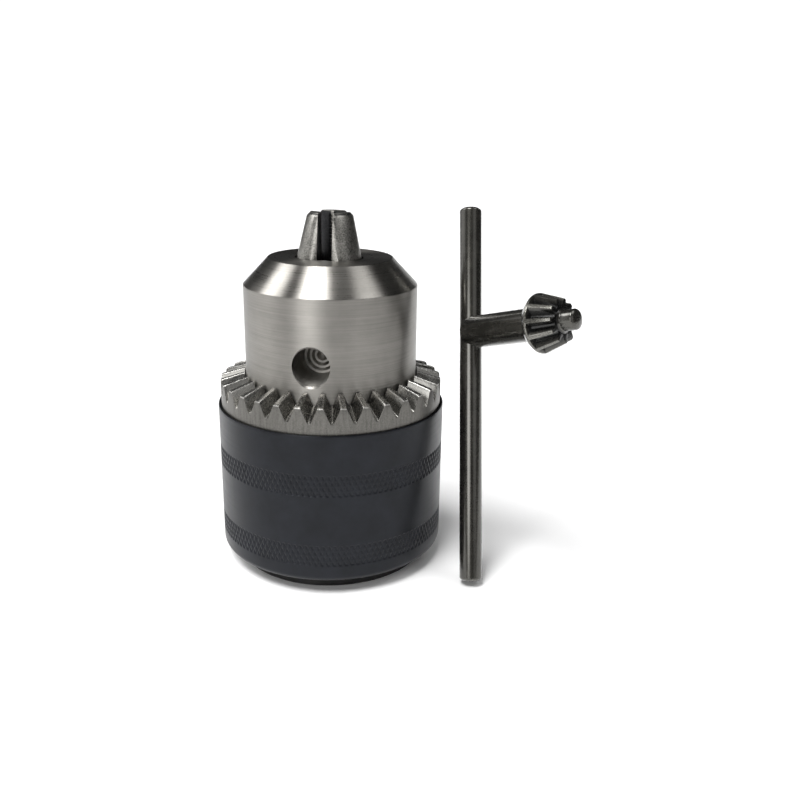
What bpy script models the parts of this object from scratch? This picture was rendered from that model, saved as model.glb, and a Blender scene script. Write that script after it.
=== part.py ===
"""Keyed three-jaw drill chuck with its T-handled key.

The chuck stands on its rear face with the jaws up: the origin is the centre of that face, +Z runs along
the chuck's axis towards the jaws, and the key stands at +X. Lengths are in metres.
"""

from math import cos, pi, radians, sin, tan

import bmesh
import bpy
from mathutils import Matrix, Vector

MM = 0.001

# Chuck body, from the rear face up.
BODY_R = 15.75 * MM
NOSE_R = 11.2 * MM
NOSE_Z = 56.8 * MM
SHOULDER_Z = 52.0 * MM
REAR_R = 18.0 * MM
FLANGE_R = 18.9 * MM
FLANGE_Z = (2.3 * MM, 5.0 * MM)
WAIST_R = 17.0 * MM
GROOVE_Z = (24.0 * MM, 33.1 * MM)
GROOVE_UNDER_JAWS = 1.6 * MM
REAR_CHAMFER = 0.4 * MM
THREAD_BORE_R = 5.75 * MM
THREAD_BORE_DEPTH = 16.0 * MM
THREAD_LEAD_IN = 0.85 * MM
THREAD_BORE_CONE = 1.4 * MM
THROUGH_R = 3.25 * MM
PILOT_HOLE_R = 3.35 * MM
PILOT_HOLE_Z = 40.25 * MM
PILOT_HOLE_FLOOR = 8.2 * MM
DRILL_POINT = radians(59.0)

# Bearings are measured about +Z from the -Y direction, towards +X.
FIRST_PILOT_BEARING = radians(-8.3)
FIRST_VALLEY_BEARING = radians(-6.1)
JAW_COUNT = 3

# Jaws: cylinders leaning inwards to the nose, with a rack on the outer side of each.
JAW_LEAN = radians(15.0)
JAW_R = 4.1 * MM
JAW_HOLE_R = 4.25 * MM
JAW_OFFSET_AT_NOSE = 1.85 * MM
JAW_TIP_Z = 64.7 * MM
JAW_TIP_CHAMFER_R = 3.5 * MM
JAW_REAR_Z = 25.9 * MM
JAW_RETRACT = 19.1 * MM
JAW_GRIP_OFFSET = 1.56 * MM
JAW_HOLE_END_GAP = 0.9 * MM

# Thread between the split nut and the jaws, measured along the jaw.
PITCH = 2.0 * MM
RIDGE_HALF_ROOT = 0.525 * MM
RIDGE_HALF_CREST = 0.275 * MM
RIDGE_DEPTH = 0.95 * MM
NUT_CLEARANCE = 0.2 * MM
NOTCH_HALF_FLOOR = 0.5 * MM
NOTCH_HALF_MOUTH = 0.75 * MM
NOTCH_DEPTH = 1.35 * MM
NOTCH_OVERRUN = 0.6 * MM
RACK_START = 12.0 * MM
NUT_Z = (24.35 * MM, 32.6 * MM)
NUT_R = 17.5 * MM
NUT_SPLIT = 0.3 * MM

# Ring gear and jacket, which turn with the nut.
RING_R = 20.45 * MM
RING_BORE_R = 16.1 * MM
RING_SKIRT_R = 19.4 * MM
RING_POCKET_R = 17.7 * MM
RING_Z = (24.3 * MM, 27.95 * MM, 32.9 * MM)
TOOTH_TIP_Z = 34.7 * MM
TOOTH_ROOT_Z = 32.0 * MM
RING_TEETH = 33
TOOTH_CREST_W = 0.95 * MM
TOOTH_ROOT_W = 0.5 * MM
JACKET_R = 21.0 * MM
JACKET_Z = (2.5 * MM, 30.0 * MM)
JACKET_WALL_R = 19.6 * MM
JACKET_MOUTH_R = 19.3 * MM
JACKET_LIP_R = 20.6 * MM
JACKET_SEAT_Z = 27.7 * MM
JACKET_EDGE = 1.3 * MM
JACKET_MOUTH_Z = 6.0 * MM
JACKET_RIM_CHAMFER = 0.15 * MM

# Key. Its bar stands on the floor beside the chuck and leans back; the shaft leaves it at right angles.
KEY_X = 26.4 * MM
KEY_Y = -16.2 * MM
KEY_LEAN = radians(21.5)
KEY_SIDE_LEAN = radians(-0.8)
KEY_BAR_R = 2.05 * MM
KEY_BAR_H = 68.8 * MM
KEY_BAR_CHAMFER = 0.55 * MM
KEY_SHAFT_H = 45.5 * MM
KEY_SHAFT_R = 2.97 * MM
KEY_BEARING = radians(44.4)
KEY_PINION_W = (15.1 * MM, 16.25 * MM, 20.7 * MM)
KEY_PINION_R = 5.28 * MM
KEY_PINION_BACK_R = 4.4 * MM
KEY_PINION_SLOPE = 0.32
KEY_TEETH = 11
KEY_FIRST_GAP = radians(27.3)
KEY_TOOTH_CREST_W = 0.62 * MM
KEY_TOOTH_DEPTH = 1.58 * MM
KEY_TOOTH_ROOT_W = 0.42 * MM
KEY_PILOT_R = 1.8 * MM
KEY_PILOT_END = 23.7 * MM
KEY_PILOT_DOME = 0.6 * MM
KEY_SEAT_GAP = 0.12 * MM

ROUND_STEPS = 56
JAW_STEPS = 28
THREAD_STEPS = 36
SHARP_ANGLE = radians(30.0)
TINY = 0.00001
CUT_SPARE = 4 * MM
GAP_OVERRUN = 0.15

# How far the tooth gaps run, as shares of the distance from the teeth's apex to their large end.
RING_GAP_SPAN = (1.06, 0.74)
KEY_GAP_SPAN = (0.98, 0.70)

# Distance that a jaw's axis moves inwards for each unit of height.
JAW_SLOPE = tan(JAW_LEAN)


def clear_scene():
    for thing in list(bpy.data.objects):
        bpy.data.objects.remove(thing, do_unlink=True)


def new_collection(name):
    group = bpy.data.collections.new(name)
    bpy.context.scene.collection.children.link(group)
    return group


def steel(name, colour, roughness, metallic=1.0):
    material = bpy.data.materials.new(name)
    material.use_nodes = True
    shader = material.node_tree.nodes["Principled BSDF"]
    shader.inputs["Base Color"].default_value = (*colour, 1.0)
    shader.inputs["Roughness"].default_value = roughness
    shader.inputs["Metallic"].default_value = metallic
    return material


def bearing_vector(bearing):
    """Unit vector in the XY plane; 0 points along -Y and bearings turn towards +X."""
    return Vector((sin(bearing), -cos(bearing), 0.0))


def facing(bearing, place):
    """Matrix at a place whose Z points level along a bearing."""
    turn = bearing_vector(bearing).to_track_quat("Z", "Y").to_matrix().to_4x4()
    return Matrix.Translation(place) @ turn


def key_frame():
    """Matrix whose Z runs up the key's bar from its lower end, lifted so that its edge meets the floor."""
    lean = Matrix.Rotation(KEY_SIDE_LEAN, 4, "Y") @ Matrix.Rotation(-KEY_LEAN, 4, "X")
    lift = KEY_BAR_R * sin(KEY_LEAN)
    return Matrix.Translation((KEY_X, KEY_Y, lift)) @ lean


def jaw_bearing(index):
    return FIRST_PILOT_BEARING + pi / JAW_COUNT + 2 * pi * index / JAW_COUNT


def jaw_axis_radius(z):
    """Distance from the chuck's axis to a jaw's own axis at height z."""
    return JAW_OFFSET_AT_NOSE + (NOSE_Z - z) * JAW_SLOPE


def jaw_cone_radius(z):
    """Distance from the chuck's axis to a jaw's outer line at height z."""
    return jaw_axis_radius(z) + JAW_R / cos(JAW_LEAN)


def jaw_frame(index):
    """Matrix whose Z runs forwards along the jaw's axis and whose X points outwards, set at the tip."""
    outward = bearing_vector(jaw_bearing(index))
    forward = outward * -sin(JAW_LEAN) + Vector((0, 0, cos(JAW_LEAN)))
    normal = outward * cos(JAW_LEAN) + Vector((0, 0, sin(JAW_LEAN)))
    side = forward.cross(normal)
    tip = outward * jaw_axis_radius(JAW_TIP_Z) + Vector((0, 0, JAW_TIP_Z))
    return Matrix.Translation(tip) @ Matrix((normal, side, forward)).transposed().to_4x4()


def object_from(name, bm, group, material=None):
    bmesh.ops.recalc_face_normals(bm, faces=bm.faces)
    mesh = bpy.data.meshes.new(name)
    bm.to_mesh(mesh)
    bm.free()
    mesh.shade_smooth()
    mesh.set_sharp_from_angle(angle=SHARP_ANGLE)
    return object_of(name, mesh, group, material)


def object_of(name, mesh, group, material=None):
    made = bpy.data.objects.new(name, mesh)
    group.objects.link(made)
    if material:
        mesh.materials.append(material)
    else:
        made.hide_render = True
        made.display_type = "WIRE"
    return made


def turned(name, outline, group, material=None, steps=ROUND_STEPS, closed=True):
    """A profile of (radius, z) points turned about Z; a closed outline is a ring."""
    mesh = bpy.data.meshes.new(name)
    points = [(radius, 0.0, z) for radius, z in outline]
    edges = [(i, i + 1) for i in range(len(points) - 1)]
    if closed:
        edges.append((len(points) - 1, 0))
    mesh.from_pydata(points, edges, [])
    made = object_of(name, mesh, group, material)
    screw = made.modifiers.new("turn", "SCREW")
    screw.steps = steps
    screw.render_steps = steps
    screw.use_merge_vertices = True
    screw.merge_threshold = TINY
    return made


def cut(target, cutter, operation="DIFFERENCE"):
    boolean = target.modifiers.new(f"cut {cutter.name}", "BOOLEAN")
    boolean.operation = operation
    boolean.object = cutter
    boolean.solver = "EXACT"


def cylinder_cutter(name, radius, length, matrix, group, steps=JAW_STEPS):
    """A cylinder from the matrix's origin along its Z."""
    bm = bmesh.new()
    place = matrix @ Matrix.Translation((0, 0, length / 2))
    bmesh.ops.create_cone(
        bm, cap_ends=True, segments=steps, radius1=radius, radius2=radius, depth=length, matrix=place
    )
    return object_from(name, bm, group)


def hulls(name, point_sets, group):
    """One cutter made of separate convex pieces."""
    bm = bmesh.new()
    for points in point_sets:
        corners = [bm.verts.new(point) for point in points]
        made = bmesh.ops.convex_hull(bm, input=corners)
        extra = set(made["geom_interior"]) | set(made["geom_unused"])
        bmesh.ops.delete(bm, geom=[g for g in extra if isinstance(g, bmesh.types.BMVert)], context="VERTS")
    return object_from(name, bm, group)


def groove_floor_radius(z):
    return jaw_cone_radius(z) - GROOVE_UNDER_JAWS


def build_body(group, cutters, material):
    low, high = GROOVE_Z
    outline = [
        (NOSE_R, NOSE_Z),
        (BODY_R, SHOULDER_Z),
        (BODY_R, high),
        (groove_floor_radius(high), high),
        (groove_floor_radius(low), low),
        (WAIST_R, low),
        (WAIST_R, FLANGE_Z[1]),
        (FLANGE_R, FLANGE_Z[1]),
        (FLANGE_R, FLANGE_Z[0]),
        (REAR_R, FLANGE_Z[0]),
        (REAR_R, REAR_CHAMFER),
        (REAR_R - REAR_CHAMFER, 0.0),
        (THREAD_BORE_R + THREAD_LEAD_IN, 0.0),
        (THREAD_BORE_R, THREAD_LEAD_IN),
        (THREAD_BORE_R, THREAD_BORE_DEPTH),
        (THROUGH_R, THREAD_BORE_DEPTH + THREAD_BORE_CONE),
        (THROUGH_R, NOSE_Z),
    ]
    body = turned("chuck_body", outline, group, material)
    for index in range(JAW_COUNT):
        cut(body, jaw_hole(index, cutters))
        cut(body, pilot_hole(index, cutters))
    return body


def jaw_hole(index, cutters):
    frame = jaw_frame(index)
    rear = (JAW_TIP_Z - JAW_REAR_Z) / cos(JAW_LEAN) + JAW_RETRACT + JAW_HOLE_END_GAP
    start = frame @ Matrix.Translation((0, 0, -rear))
    return cylinder_cutter(f"jaw_hole_{index + 1}", JAW_HOLE_R, rear + CUT_SPARE, start, cutters)


def pilot_hole(index, cutters):
    """A blind drilled hole with a conical floor, square to the chuck's axis."""
    bearing = FIRST_PILOT_BEARING + 2 * pi * index / JAW_COUNT
    outline = [
        (0.0, BODY_R + CUT_SPARE),
        (PILOT_HOLE_R, BODY_R + CUT_SPARE),
        (PILOT_HOLE_R, PILOT_HOLE_FLOOR),
        (0.0, PILOT_HOLE_FLOOR - PILOT_HOLE_R / tan(DRILL_POINT)),
    ]
    name = f"pilot_hole_{index + 1}"
    made = turned(name, outline, cutters, steps=24, closed=False)
    made.matrix_world = facing(bearing, (0, 0, PILOT_HOLE_Z))
    return made


def build_jaw(index, group, cutters, material):
    """A cylinder with two flats that meet in the gripping edge, a chamfered tip and a rack."""
    frame = jaw_frame(index)
    length = (JAW_TIP_Z - JAW_REAR_Z) / cos(JAW_LEAN)
    bm = bmesh.new()
    bmesh.ops.create_cone(
        bm,
        cap_ends=True,
        segments=JAW_STEPS,
        radius1=JAW_R,
        radius2=JAW_R,
        depth=length + CUT_SPARE,
        matrix=Matrix.Translation((0, 0, (CUT_SPARE - length) / 2)),
    )
    jaw = object_from(f"jaw_{index + 1}", bm, group, material)
    jaw.matrix_world = frame
    cut(jaw, grip_cutter(index, cutters))
    cut(jaw, bpy.data.objects["jaw_tip_cutter"])
    cut(jaw, rack_cutter(index, length, cutters))
    return jaw


def grip_cutter(index, cutters):
    """Everything outside the 120 degree wedge whose edge is the jaw's gripping line."""
    far = 4 * JAW_R
    wide = tan(pi / JAW_COUNT)
    outline = [
        (JAW_GRIP_OFFSET, 0.0),
        (JAW_GRIP_OFFSET + far / wide, far),
        (-far, far),
        (-far, -far),
        (JAW_GRIP_OFFSET + far / wide, -far),
    ]
    bm = bmesh.new()
    face = bm.faces.new([bm.verts.new((x, y, JAW_REAR_Z - far)) for x, y in outline])
    grown = bmesh.ops.extrude_face_region(bm, geom=[face])
    top = [g for g in grown["geom"] if isinstance(g, bmesh.types.BMVert)]
    bmesh.ops.translate(bm, verts=top, vec=(0, 0, JAW_TIP_Z - JAW_REAR_Z + 2 * far))
    made = object_from(f"grip_cutter_{index + 1}", bm, cutters)
    made.rotation_euler.z = jaw_bearing(index) - pi / 2
    return made


def tip_cutter(cutters):
    """Takes the jaws' tips off level, with a chamfer round the outside."""
    reach = 2.2 * JAW_R
    outline = [
        (0.0, JAW_TIP_Z + 2 * CUT_SPARE),
        (reach, JAW_TIP_Z + 2 * CUT_SPARE),
        (reach, JAW_TIP_Z - (reach - JAW_TIP_CHAMFER_R)),
        (JAW_TIP_CHAMFER_R, JAW_TIP_Z),
        (0.0, JAW_TIP_Z),
    ]
    return turned("jaw_tip_cutter", outline, cutters, closed=False)


def ridge_height(bearing):
    """Height of the nut's thread ridge number 0 at a bearing; ridges climb anticlockwise."""
    return NUT_Z[0] + PITCH * cos(JAW_LEAN) * bearing / (2 * pi)


def rack_cutter(index, length, cutters):
    """Notches across the jaw's outer side, in mesh with the nut's ridges."""
    frame = jaw_frame(index)
    first = JAW_TIP_Z + JAW_R * sin(JAW_LEAN) - ridge_height(jaw_bearing(index))
    offset = (first / cos(JAW_LEAN)) % PITCH
    count = int((length - offset) / PITCH) + 2
    centres = [offset + PITCH * i for i in range(count) if offset + PITCH * i > RACK_START]
    slope = (NOTCH_HALF_MOUTH - NOTCH_HALF_FLOOR) / NOTCH_DEPTH
    half_top = NOTCH_HALF_MOUTH + slope * NOTCH_OVERRUN
    levels = ((JAW_R - NOTCH_DEPTH, NOTCH_HALF_FLOOR), (JAW_R + NOTCH_OVERRUN, half_top))
    sets = []
    for centre in centres:
        sets.append(
            [
                frame @ Vector((x, y * (JAW_R + NOTCH_OVERRUN), -centre + along * half))
                for x, half in levels
                for y in (-1, 1)
                for along in (-1, 1)
            ]
        )
    return hulls(f"rack_cutter_{index + 1}", sets, cutters)


def thread_core(cutters):
    """The tapered screw shape that the nut's bore leaves free: a lofted helix on the jaws' cone."""
    rows = (
        (-RIDGE_HALF_ROOT, -NUT_CLEARANCE),
        (-RIDGE_HALF_CREST, RIDGE_DEPTH),
        (RIDGE_HALF_CREST, RIDGE_DEPTH),
        (RIDGE_HALF_ROOT, -NUT_CLEARANCE),
    )
    rise = PITCH * cos(JAW_LEAN)
    turns = int((NUT_Z[1] - NUT_Z[0]) / rise) + 4
    bm = bmesh.new()
    lines = []
    for turn in range(turns):
        for along, depth in rows:
            line = []
            for step in range(THREAD_STEPS + 1):
                bearing = 2 * pi * step / THREAD_STEPS
                z = ridge_height(bearing) + rise * (turn - 2) + along * cos(JAW_LEAN)
                radius = jaw_cone_radius(z) - depth * cos(JAW_LEAN)
                lift = Vector((0, 0, z - depth * sin(JAW_LEAN)))
                line.append(bm.verts.new(bearing_vector(bearing) * radius + lift))
            lines.append(line)
    for lower, upper in zip(lines, lines[1:]):
        for step in range(THREAD_STEPS):
            bm.faces.new((lower[step], lower[step + 1], upper[step + 1], upper[step]))
    count = len(rows)
    low_edge = lines[0] + [line[0] for line in lines[count - 1 : 0 : -1]]
    high_edge = lines[-1] + [line[-1] for line in lines[-2 : -count - 1 : -1]]
    for edge in (low_edge, high_edge):
        hub = bm.verts.new((0, 0, sum(vert.co.z for vert in edge) / len(edge)))
        for a, b in zip(edge, edge[1:] + edge[:1]):
            bm.faces.new((a, b, hub))
    bmesh.ops.remove_doubles(bm, verts=bm.verts, dist=TINY / 10)
    return object_from("thread_core", bm, cutters)


def build_nut_half(name, side, group, cutters, material):
    """Half of a ring, with the taper thread inside; side is +1 or -1 along the split's normal."""
    bm = bmesh.new()
    height = NUT_Z[1] - NUT_Z[0]
    bmesh.ops.create_cone(
        bm,
        cap_ends=True,
        segments=48,
        radius1=NUT_R,
        radius2=NUT_R,
        depth=height,
        matrix=Matrix.Translation((0, 0, sum(NUT_Z) / 2)),
    )
    half = object_from(name, bm, group, material)
    reach = NUT_R + CUT_SPARE
    keep = bmesh.new()
    bmesh.ops.create_cube(keep, size=2 * reach)
    centre = (side * (reach + NUT_SPLIT / 2), 0, sum(NUT_Z) / 2)
    bmesh.ops.translate(keep, verts=keep.verts, vec=centre)
    cut(half, bpy.data.objects["thread_core"])
    cut(half, object_from(f"{name}_keep", keep, cutters), "INTERSECT")
    return half


def tooth_gaps(name, count, first, apex, section, scales, cutters):
    """Gaps between bevel teeth: wedges round Z whose lines all run to the apex on that axis.

    The section lists (radius, height, half width) points; each wedge is cut between two scales of it.
    """
    hub = Vector((0, 0, apex))
    sets = []
    for index in range(count):
        bearing = first + 2 * pi * index / count
        outward = bearing_vector(bearing)
        along = bearing_vector(bearing + pi / 2)
        corners = []
        for radius, height, half in section:
            base = outward * radius + Vector((0, 0, height)) - hub
            corners += [base - along * half, base + along * half]
        sets.append([hub + corner * scale for scale in scales for corner in corners])
    return hulls(name, sets, cutters)


def gap_section(tip, root, tip_half, root_half):
    """The two levels of a tooth gap, the outer one carried past the tips; both are (radius, height)."""
    past = tuple(t + (t - r) * GAP_OVERRUN for t, r in zip(tip, root))
    half = tip_half + (tip_half - root_half) * GAP_OVERRUN
    return ((*root, root_half), (*past, half))


def build_ring_gear(group, cutters, material):
    tip_slope = (PILOT_HOLE_Z - TOOTH_TIP_Z) / RING_R
    outline = [
        (RING_R, TOOTH_TIP_Z),
        (RING_R, RING_Z[1]),
        (RING_SKIRT_R, RING_Z[1]),
        (RING_SKIRT_R, RING_Z[0]),
        (RING_POCKET_R, RING_Z[0]),
        (RING_POCKET_R, RING_Z[2]),
        (RING_BORE_R, RING_Z[2]),
        (RING_BORE_R, PILOT_HOLE_Z - tip_slope * RING_BORE_R),
    ]
    ring = turned("ring_gear", outline, group, material, steps=66)
    section = gap_section(
        (RING_R, TOOTH_TIP_Z),
        (RING_R, TOOTH_ROOT_Z),
        (2 * pi * RING_R / RING_TEETH - TOOTH_CREST_W) / 2,
        TOOTH_ROOT_W / 2,
    )
    gaps = tooth_gaps(
        "ring_tooth_gaps", RING_TEETH, FIRST_VALLEY_BEARING, PILOT_HOLE_Z, section, RING_GAP_SPAN, cutters
    )
    cut(ring, gaps)
    return ring


def build_jacket(group, material):
    low, high = JACKET_Z
    turns = [radians(angle) for angle in (0, 30, 60, 90)]
    edge = JACKET_R - JACKET_EDGE
    rounded = [(edge + JACKET_EDGE * cos(a), low + JACKET_EDGE * (1 - sin(a))) for a in turns]
    outline = [
        (JACKET_R - JACKET_RIM_CHAMFER, high),
        (JACKET_R, high - JACKET_RIM_CHAMFER),
        *rounded,
        (JACKET_MOUTH_R, low),
        (JACKET_MOUTH_R, JACKET_MOUTH_Z),
        (JACKET_WALL_R, JACKET_MOUTH_Z),
        (JACKET_WALL_R, JACKET_SEAT_Z),
        (JACKET_LIP_R, JACKET_SEAT_Z),
        (JACKET_LIP_R, high),
    ]
    return turned("sleeve_jacket", outline, group, material, steps=72)


def build_key_bar(group, material):
    inner = KEY_BAR_R - KEY_BAR_CHAMFER
    outline = [
        (0.0, KEY_BAR_H),
        (inner, KEY_BAR_H),
        (KEY_BAR_R, KEY_BAR_H - KEY_BAR_CHAMFER),
        (KEY_BAR_R, KEY_BAR_CHAMFER),
        (inner, 0.0),
        (0.0, 0.0),
    ]
    bar = turned("key_bar", outline, group, material, steps=24, closed=False)
    bar.matrix_world = key_frame()
    return bar


def build_key_shaft(group, cutters, material):
    """Shaft, bevel pinion and pilot in one piece; local Z points from the bar to the pilot's end."""
    back, rim, front = KEY_PINION_W
    front_r = KEY_PINION_R - (front - rim) * KEY_PINION_SLOPE
    dome = [radians(angle) for angle in (30, 60)]
    dome_z = KEY_PILOT_END - KEY_PILOT_DOME
    outline = [
        (0.0, KEY_PILOT_END),
        *[(KEY_PILOT_R * sin(a), dome_z + KEY_PILOT_DOME * cos(a)) for a in dome],
        (KEY_PILOT_R, dome_z),
        (KEY_PILOT_R, front),
        (front_r, front),
        (KEY_PINION_R, rim),
        (KEY_PINION_BACK_R, back),
        (KEY_SHAFT_R, back),
        (KEY_SHAFT_R, 0.0),
        (0.0, 0.0),
    ]
    shaft = turned("key_shaft", outline, group, material, steps=44, closed=False)
    section = gap_section(
        (KEY_PINION_R, rim),
        (KEY_PINION_R - KEY_TOOTH_DEPTH, rim),
        (2 * pi * KEY_PINION_R / KEY_TEETH - KEY_TOOTH_CREST_W) / 2,
        KEY_TOOTH_ROOT_W / 2,
    )
    apex = rim + KEY_PINION_R / KEY_PINION_SLOPE
    gaps = tooth_gaps("key_tooth_gaps", KEY_TEETH, KEY_FIRST_GAP, apex, section, KEY_GAP_SPAN, cutters)
    cut(shaft, gaps)
    place = key_frame() @ facing(KEY_BEARING, (0, 0, KEY_SHAFT_H))
    shaft.matrix_world = place
    gaps.matrix_world = place
    reach = 2 * KEY_SHAFT_R
    seat = key_frame() @ Matrix.Translation((0, 0, KEY_SHAFT_H - reach))
    cut(shaft, cylinder_cutter("key_seat", KEY_BAR_R + KEY_SEAT_GAP, 2 * reach, seat, cutters, 24))
    return shaft


def main():
    clear_scene()
    group = new_collection("drill_chuck")
    cutters = new_collection("cutters")
    ground = steel("ground_steel", (0.50, 0.48, 0.45), 0.32)
    hardened = steel("hardened_steel", (0.22, 0.21, 0.20), 0.42)
    blackened = steel("blackened_steel", (0.045, 0.048, 0.055), 0.38)
    gunmetal = steel("oiled_black_steel", (0.07, 0.068, 0.06), 0.35)
    tip_cutter(cutters)
    thread_core(cutters)
    build_body(group, cutters, ground)
    for index in range(JAW_COUNT):
        build_jaw(index, group, cutters, hardened)
    build_nut_half("nut_half_a", 1, group, cutters, hardened)
    build_nut_half("nut_half_b", -1, group, cutters, hardened)
    build_ring_gear(group, cutters, ground)
    build_jacket(group, blackened)
    build_key_bar(group, gunmetal)
    build_key_shaft(group, cutters, gunmetal)


main()
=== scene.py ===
from math import cos, pi, radians, sin, tan

import bmesh
import bpy
from mathutils import Matrix, Vector, noise


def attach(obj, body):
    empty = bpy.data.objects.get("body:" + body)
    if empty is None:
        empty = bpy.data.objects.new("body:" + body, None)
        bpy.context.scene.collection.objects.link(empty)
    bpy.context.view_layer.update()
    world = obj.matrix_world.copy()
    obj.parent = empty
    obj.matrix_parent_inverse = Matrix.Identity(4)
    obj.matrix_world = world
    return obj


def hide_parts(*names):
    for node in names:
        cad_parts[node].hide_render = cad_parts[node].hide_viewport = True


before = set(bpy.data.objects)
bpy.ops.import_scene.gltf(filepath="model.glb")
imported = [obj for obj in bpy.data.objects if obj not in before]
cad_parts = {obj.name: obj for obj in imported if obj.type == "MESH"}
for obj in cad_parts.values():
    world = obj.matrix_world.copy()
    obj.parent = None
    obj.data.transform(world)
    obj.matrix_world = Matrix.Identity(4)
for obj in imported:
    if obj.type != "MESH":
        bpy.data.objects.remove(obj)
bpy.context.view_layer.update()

MM = 0.001

# Chuck body: radii, and heights above the rear face.
BODY_R = 15.75 * MM
NOSE_R = 11.2 * MM
NOSE_Z = 56.8 * MM
SHOULDER_Z = 52.0 * MM
REAR_R = 18.0 * MM
REAR_CHAMFER = 0.4 * MM
FLANGE_R = 18.9 * MM
FLANGE_Z = (2.3 * MM, 5.0 * MM)
WAIST_R = 17.0 * MM
GROOVE_Z = (24.0 * MM, 33.1 * MM)
GROOVE_UNDER_JAWS = 1.6 * MM
THREAD_BORE_R = 5.75 * MM
THREAD_BORE_DEPTH = 16.0 * MM
THREAD_BORE_CHAMFER = 0.85 * MM
THREAD_BORE_TAPER_H = 1.4 * MM
THREAD_PITCH = 1.27 * MM
THREAD_DEPTH = 0.55 * MM
THREAD_CREST_SHARE = 0.15
THREAD_ROOT_SHARES = (0.5, 0.62)
THROUGH_R = 3.25 * MM

# Rounding of the turned edges, from the least to the most.
CRISP_EDGE = 0.1 * MM
FINE_EDGE = 0.15 * MM
SOFT_EDGE = 0.2 * MM
WIDE_EDGE = 0.3 * MM
SHOULDER_EDGE = 0.35 * MM

# Key holes, drilled towards the axis; their floors are measured from it.
PILOT_HOLE_R = 3.35 * MM
PILOT_HOLE_Z = 40.25 * MM
PILOT_HOLE_FLOOR = 8.2 * MM
PILOT_HOLE_CHAMFER = 0.35 * MM
DRILL_RINGS = 10
DRILL_RING_DEPTH = 0.03 * MM
DRILL_CONE_H = 2.0 * MM
DRILL_CONE_SHARES = (0.9, 0.78, 0.66, 0.54, 0.42, 0.3, 0.18)
DRILL_CONE_STEP = 0.2 * MM
CUTTER_OVER = 2 * MM

# Bearings are measured about +Z from the -Y direction, towards +X.
FIRST_PILOT_BEARING = radians(-8.3)
FIRST_VALLEY_BEARING = radians(-6.1)

# Jaws, which lean inwards; lengths along a jaw run back from its tip. The bore of each is 0.2 mm wider in
# radius than the CAD part's, which leaves a gap that shows round the jaw.
JAW_COUNT = 3
JAW_LEAN = radians(15.0)
JAW_SLOPE = tan(JAW_LEAN)
JAW_R = 4.1 * MM
JAW_HOLE_R = 4.45 * MM
JAW_HOLE_SPARE = 0.9 * MM
JAW_OFFSET_AT_NOSE = 1.85 * MM
JAW_TIP_Z = 64.7 * MM
JAW_REAR_Z = 25.9 * MM
JAW_LENGTH = (JAW_TIP_Z - JAW_REAR_Z) / cos(JAW_LEAN)
JAW_STOCK = 4 * MM
JAW_REAR_CHAMFER = 0.4 * MM
JAW_RETRACT = 19.1 * MM
JAW_GRIP_OFFSET = 1.56 * MM
JAW_LAND_IN = 0.15 * MM
JAW_TIP_CHAMFER_R = 3.5 * MM
JAW_EDGE = 0.09 * MM
GRIP_CUTTER_REACH = 16 * MM
GRIP_CUTTER_LOW = 15 * MM
GRIP_CUTTER_H = 60 * MM
TIP_CUTTER_REACH = 9 * MM
TIP_CUTTER_H = 8 * MM
SERRATION_FIRST = 1.1 * MM
SERRATION_END = 12 * MM
SERRATION_PITCH = 0.62 * MM
SERRATION_HALF = 0.5 * MM
SERRATION_IN = 0.6 * MM
SERRATION_OUT = 0.42 * MM
SERRATION_REACH = 1.5 * MM
NUT_PITCH = 2.0 * MM
NUT_REAR_Z = 24.35 * MM
RACK_START = 12.0 * MM
RACK_DEPTH = 1.35 * MM
RACK_FLOOR_HALF = 0.5 * MM
RACK_OVER = 0.6 * MM
RACK_MOUTH_HALF = 0.861 * MM
RACK_REACH = 5 * MM

# Ring gear: its Z levels are the skirt's foot, the shoulder under the teeth and the pocket's roof.
RING_R = 20.45 * MM
RING_BORE_R = 16.1 * MM
RING_SKIRT_R = 19.4 * MM
RING_POCKET_R = 17.7 * MM
RING_Z = (24.3 * MM, 27.95 * MM, 32.9 * MM)
RING_RADIAL_STEPS = 12
RING_TEETH = 33
TOOTH_TIP_Z = 34.7 * MM
TOOTH_ROOT_Z = 32.0 * MM
TOOTH_CREST_W = 0.95 * MM
TOOTH_CREST_ROUND = 0.12 * MM
TOOTH_ROOT_W = 0.5 * MM
TOOTH_ROOT_ROUND = 0.16 * MM
TOOTH_STEP = 0.4 * MM
TOOTH_EDGE = 0.13 * MM
TOOTH_EDGE_SHARE = 0.3
TOOTH_FOOT_Z = TOOTH_ROOT_Z - 0.5 * MM
TOOTH_FACE_STEPS = 3
NICK_COARSE = 900.0
NICK_COARSE_H = 0.03 * MM
NICK_FINE = 2600.0
NICK_FINE_H = 0.015 * MM
NICK_AT_ROOT = 0.4
NICK_TOWARDS_CREST = 0.6

# Jacket, with two bands of diamond knurl.
JACKET_R = 21.0 * MM
JACKET_Z = (2.5 * MM, 30.0 * MM)
JACKET_WALL_R = 19.6 * MM
JACKET_MOUTH_R = 19.3 * MM
JACKET_MOUTH_Z = 6.0 * MM
JACKET_LIP_R = 20.6 * MM
JACKET_SEAT_Z = 27.7 * MM
JACKET_EDGE = 1.3 * MM
JACKET_TOP_EDGE = 0.15 * MM
JACKET_TOP_CORNER = 0.04 * MM
JACKET_TOP_ROW = 0.6 * MM
KNURL_BANDS = ((5.7 * MM, 9.7 * MM), (18.9 * MM, 22.9 * MM))
KNURL_COUNT = 128
KNURL_COLUMNS = 8
KNURL_ROW = 0.125 * MM
KNURL_HEIGHT = 2.0 * MM
KNURL_DEPTH = 0.16 * MM
KNURL_GROOVE_SHARE = 0.3
KNURL_FADE = 0.15 * MM
KNURL_GUARD = 0.08 * MM

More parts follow.
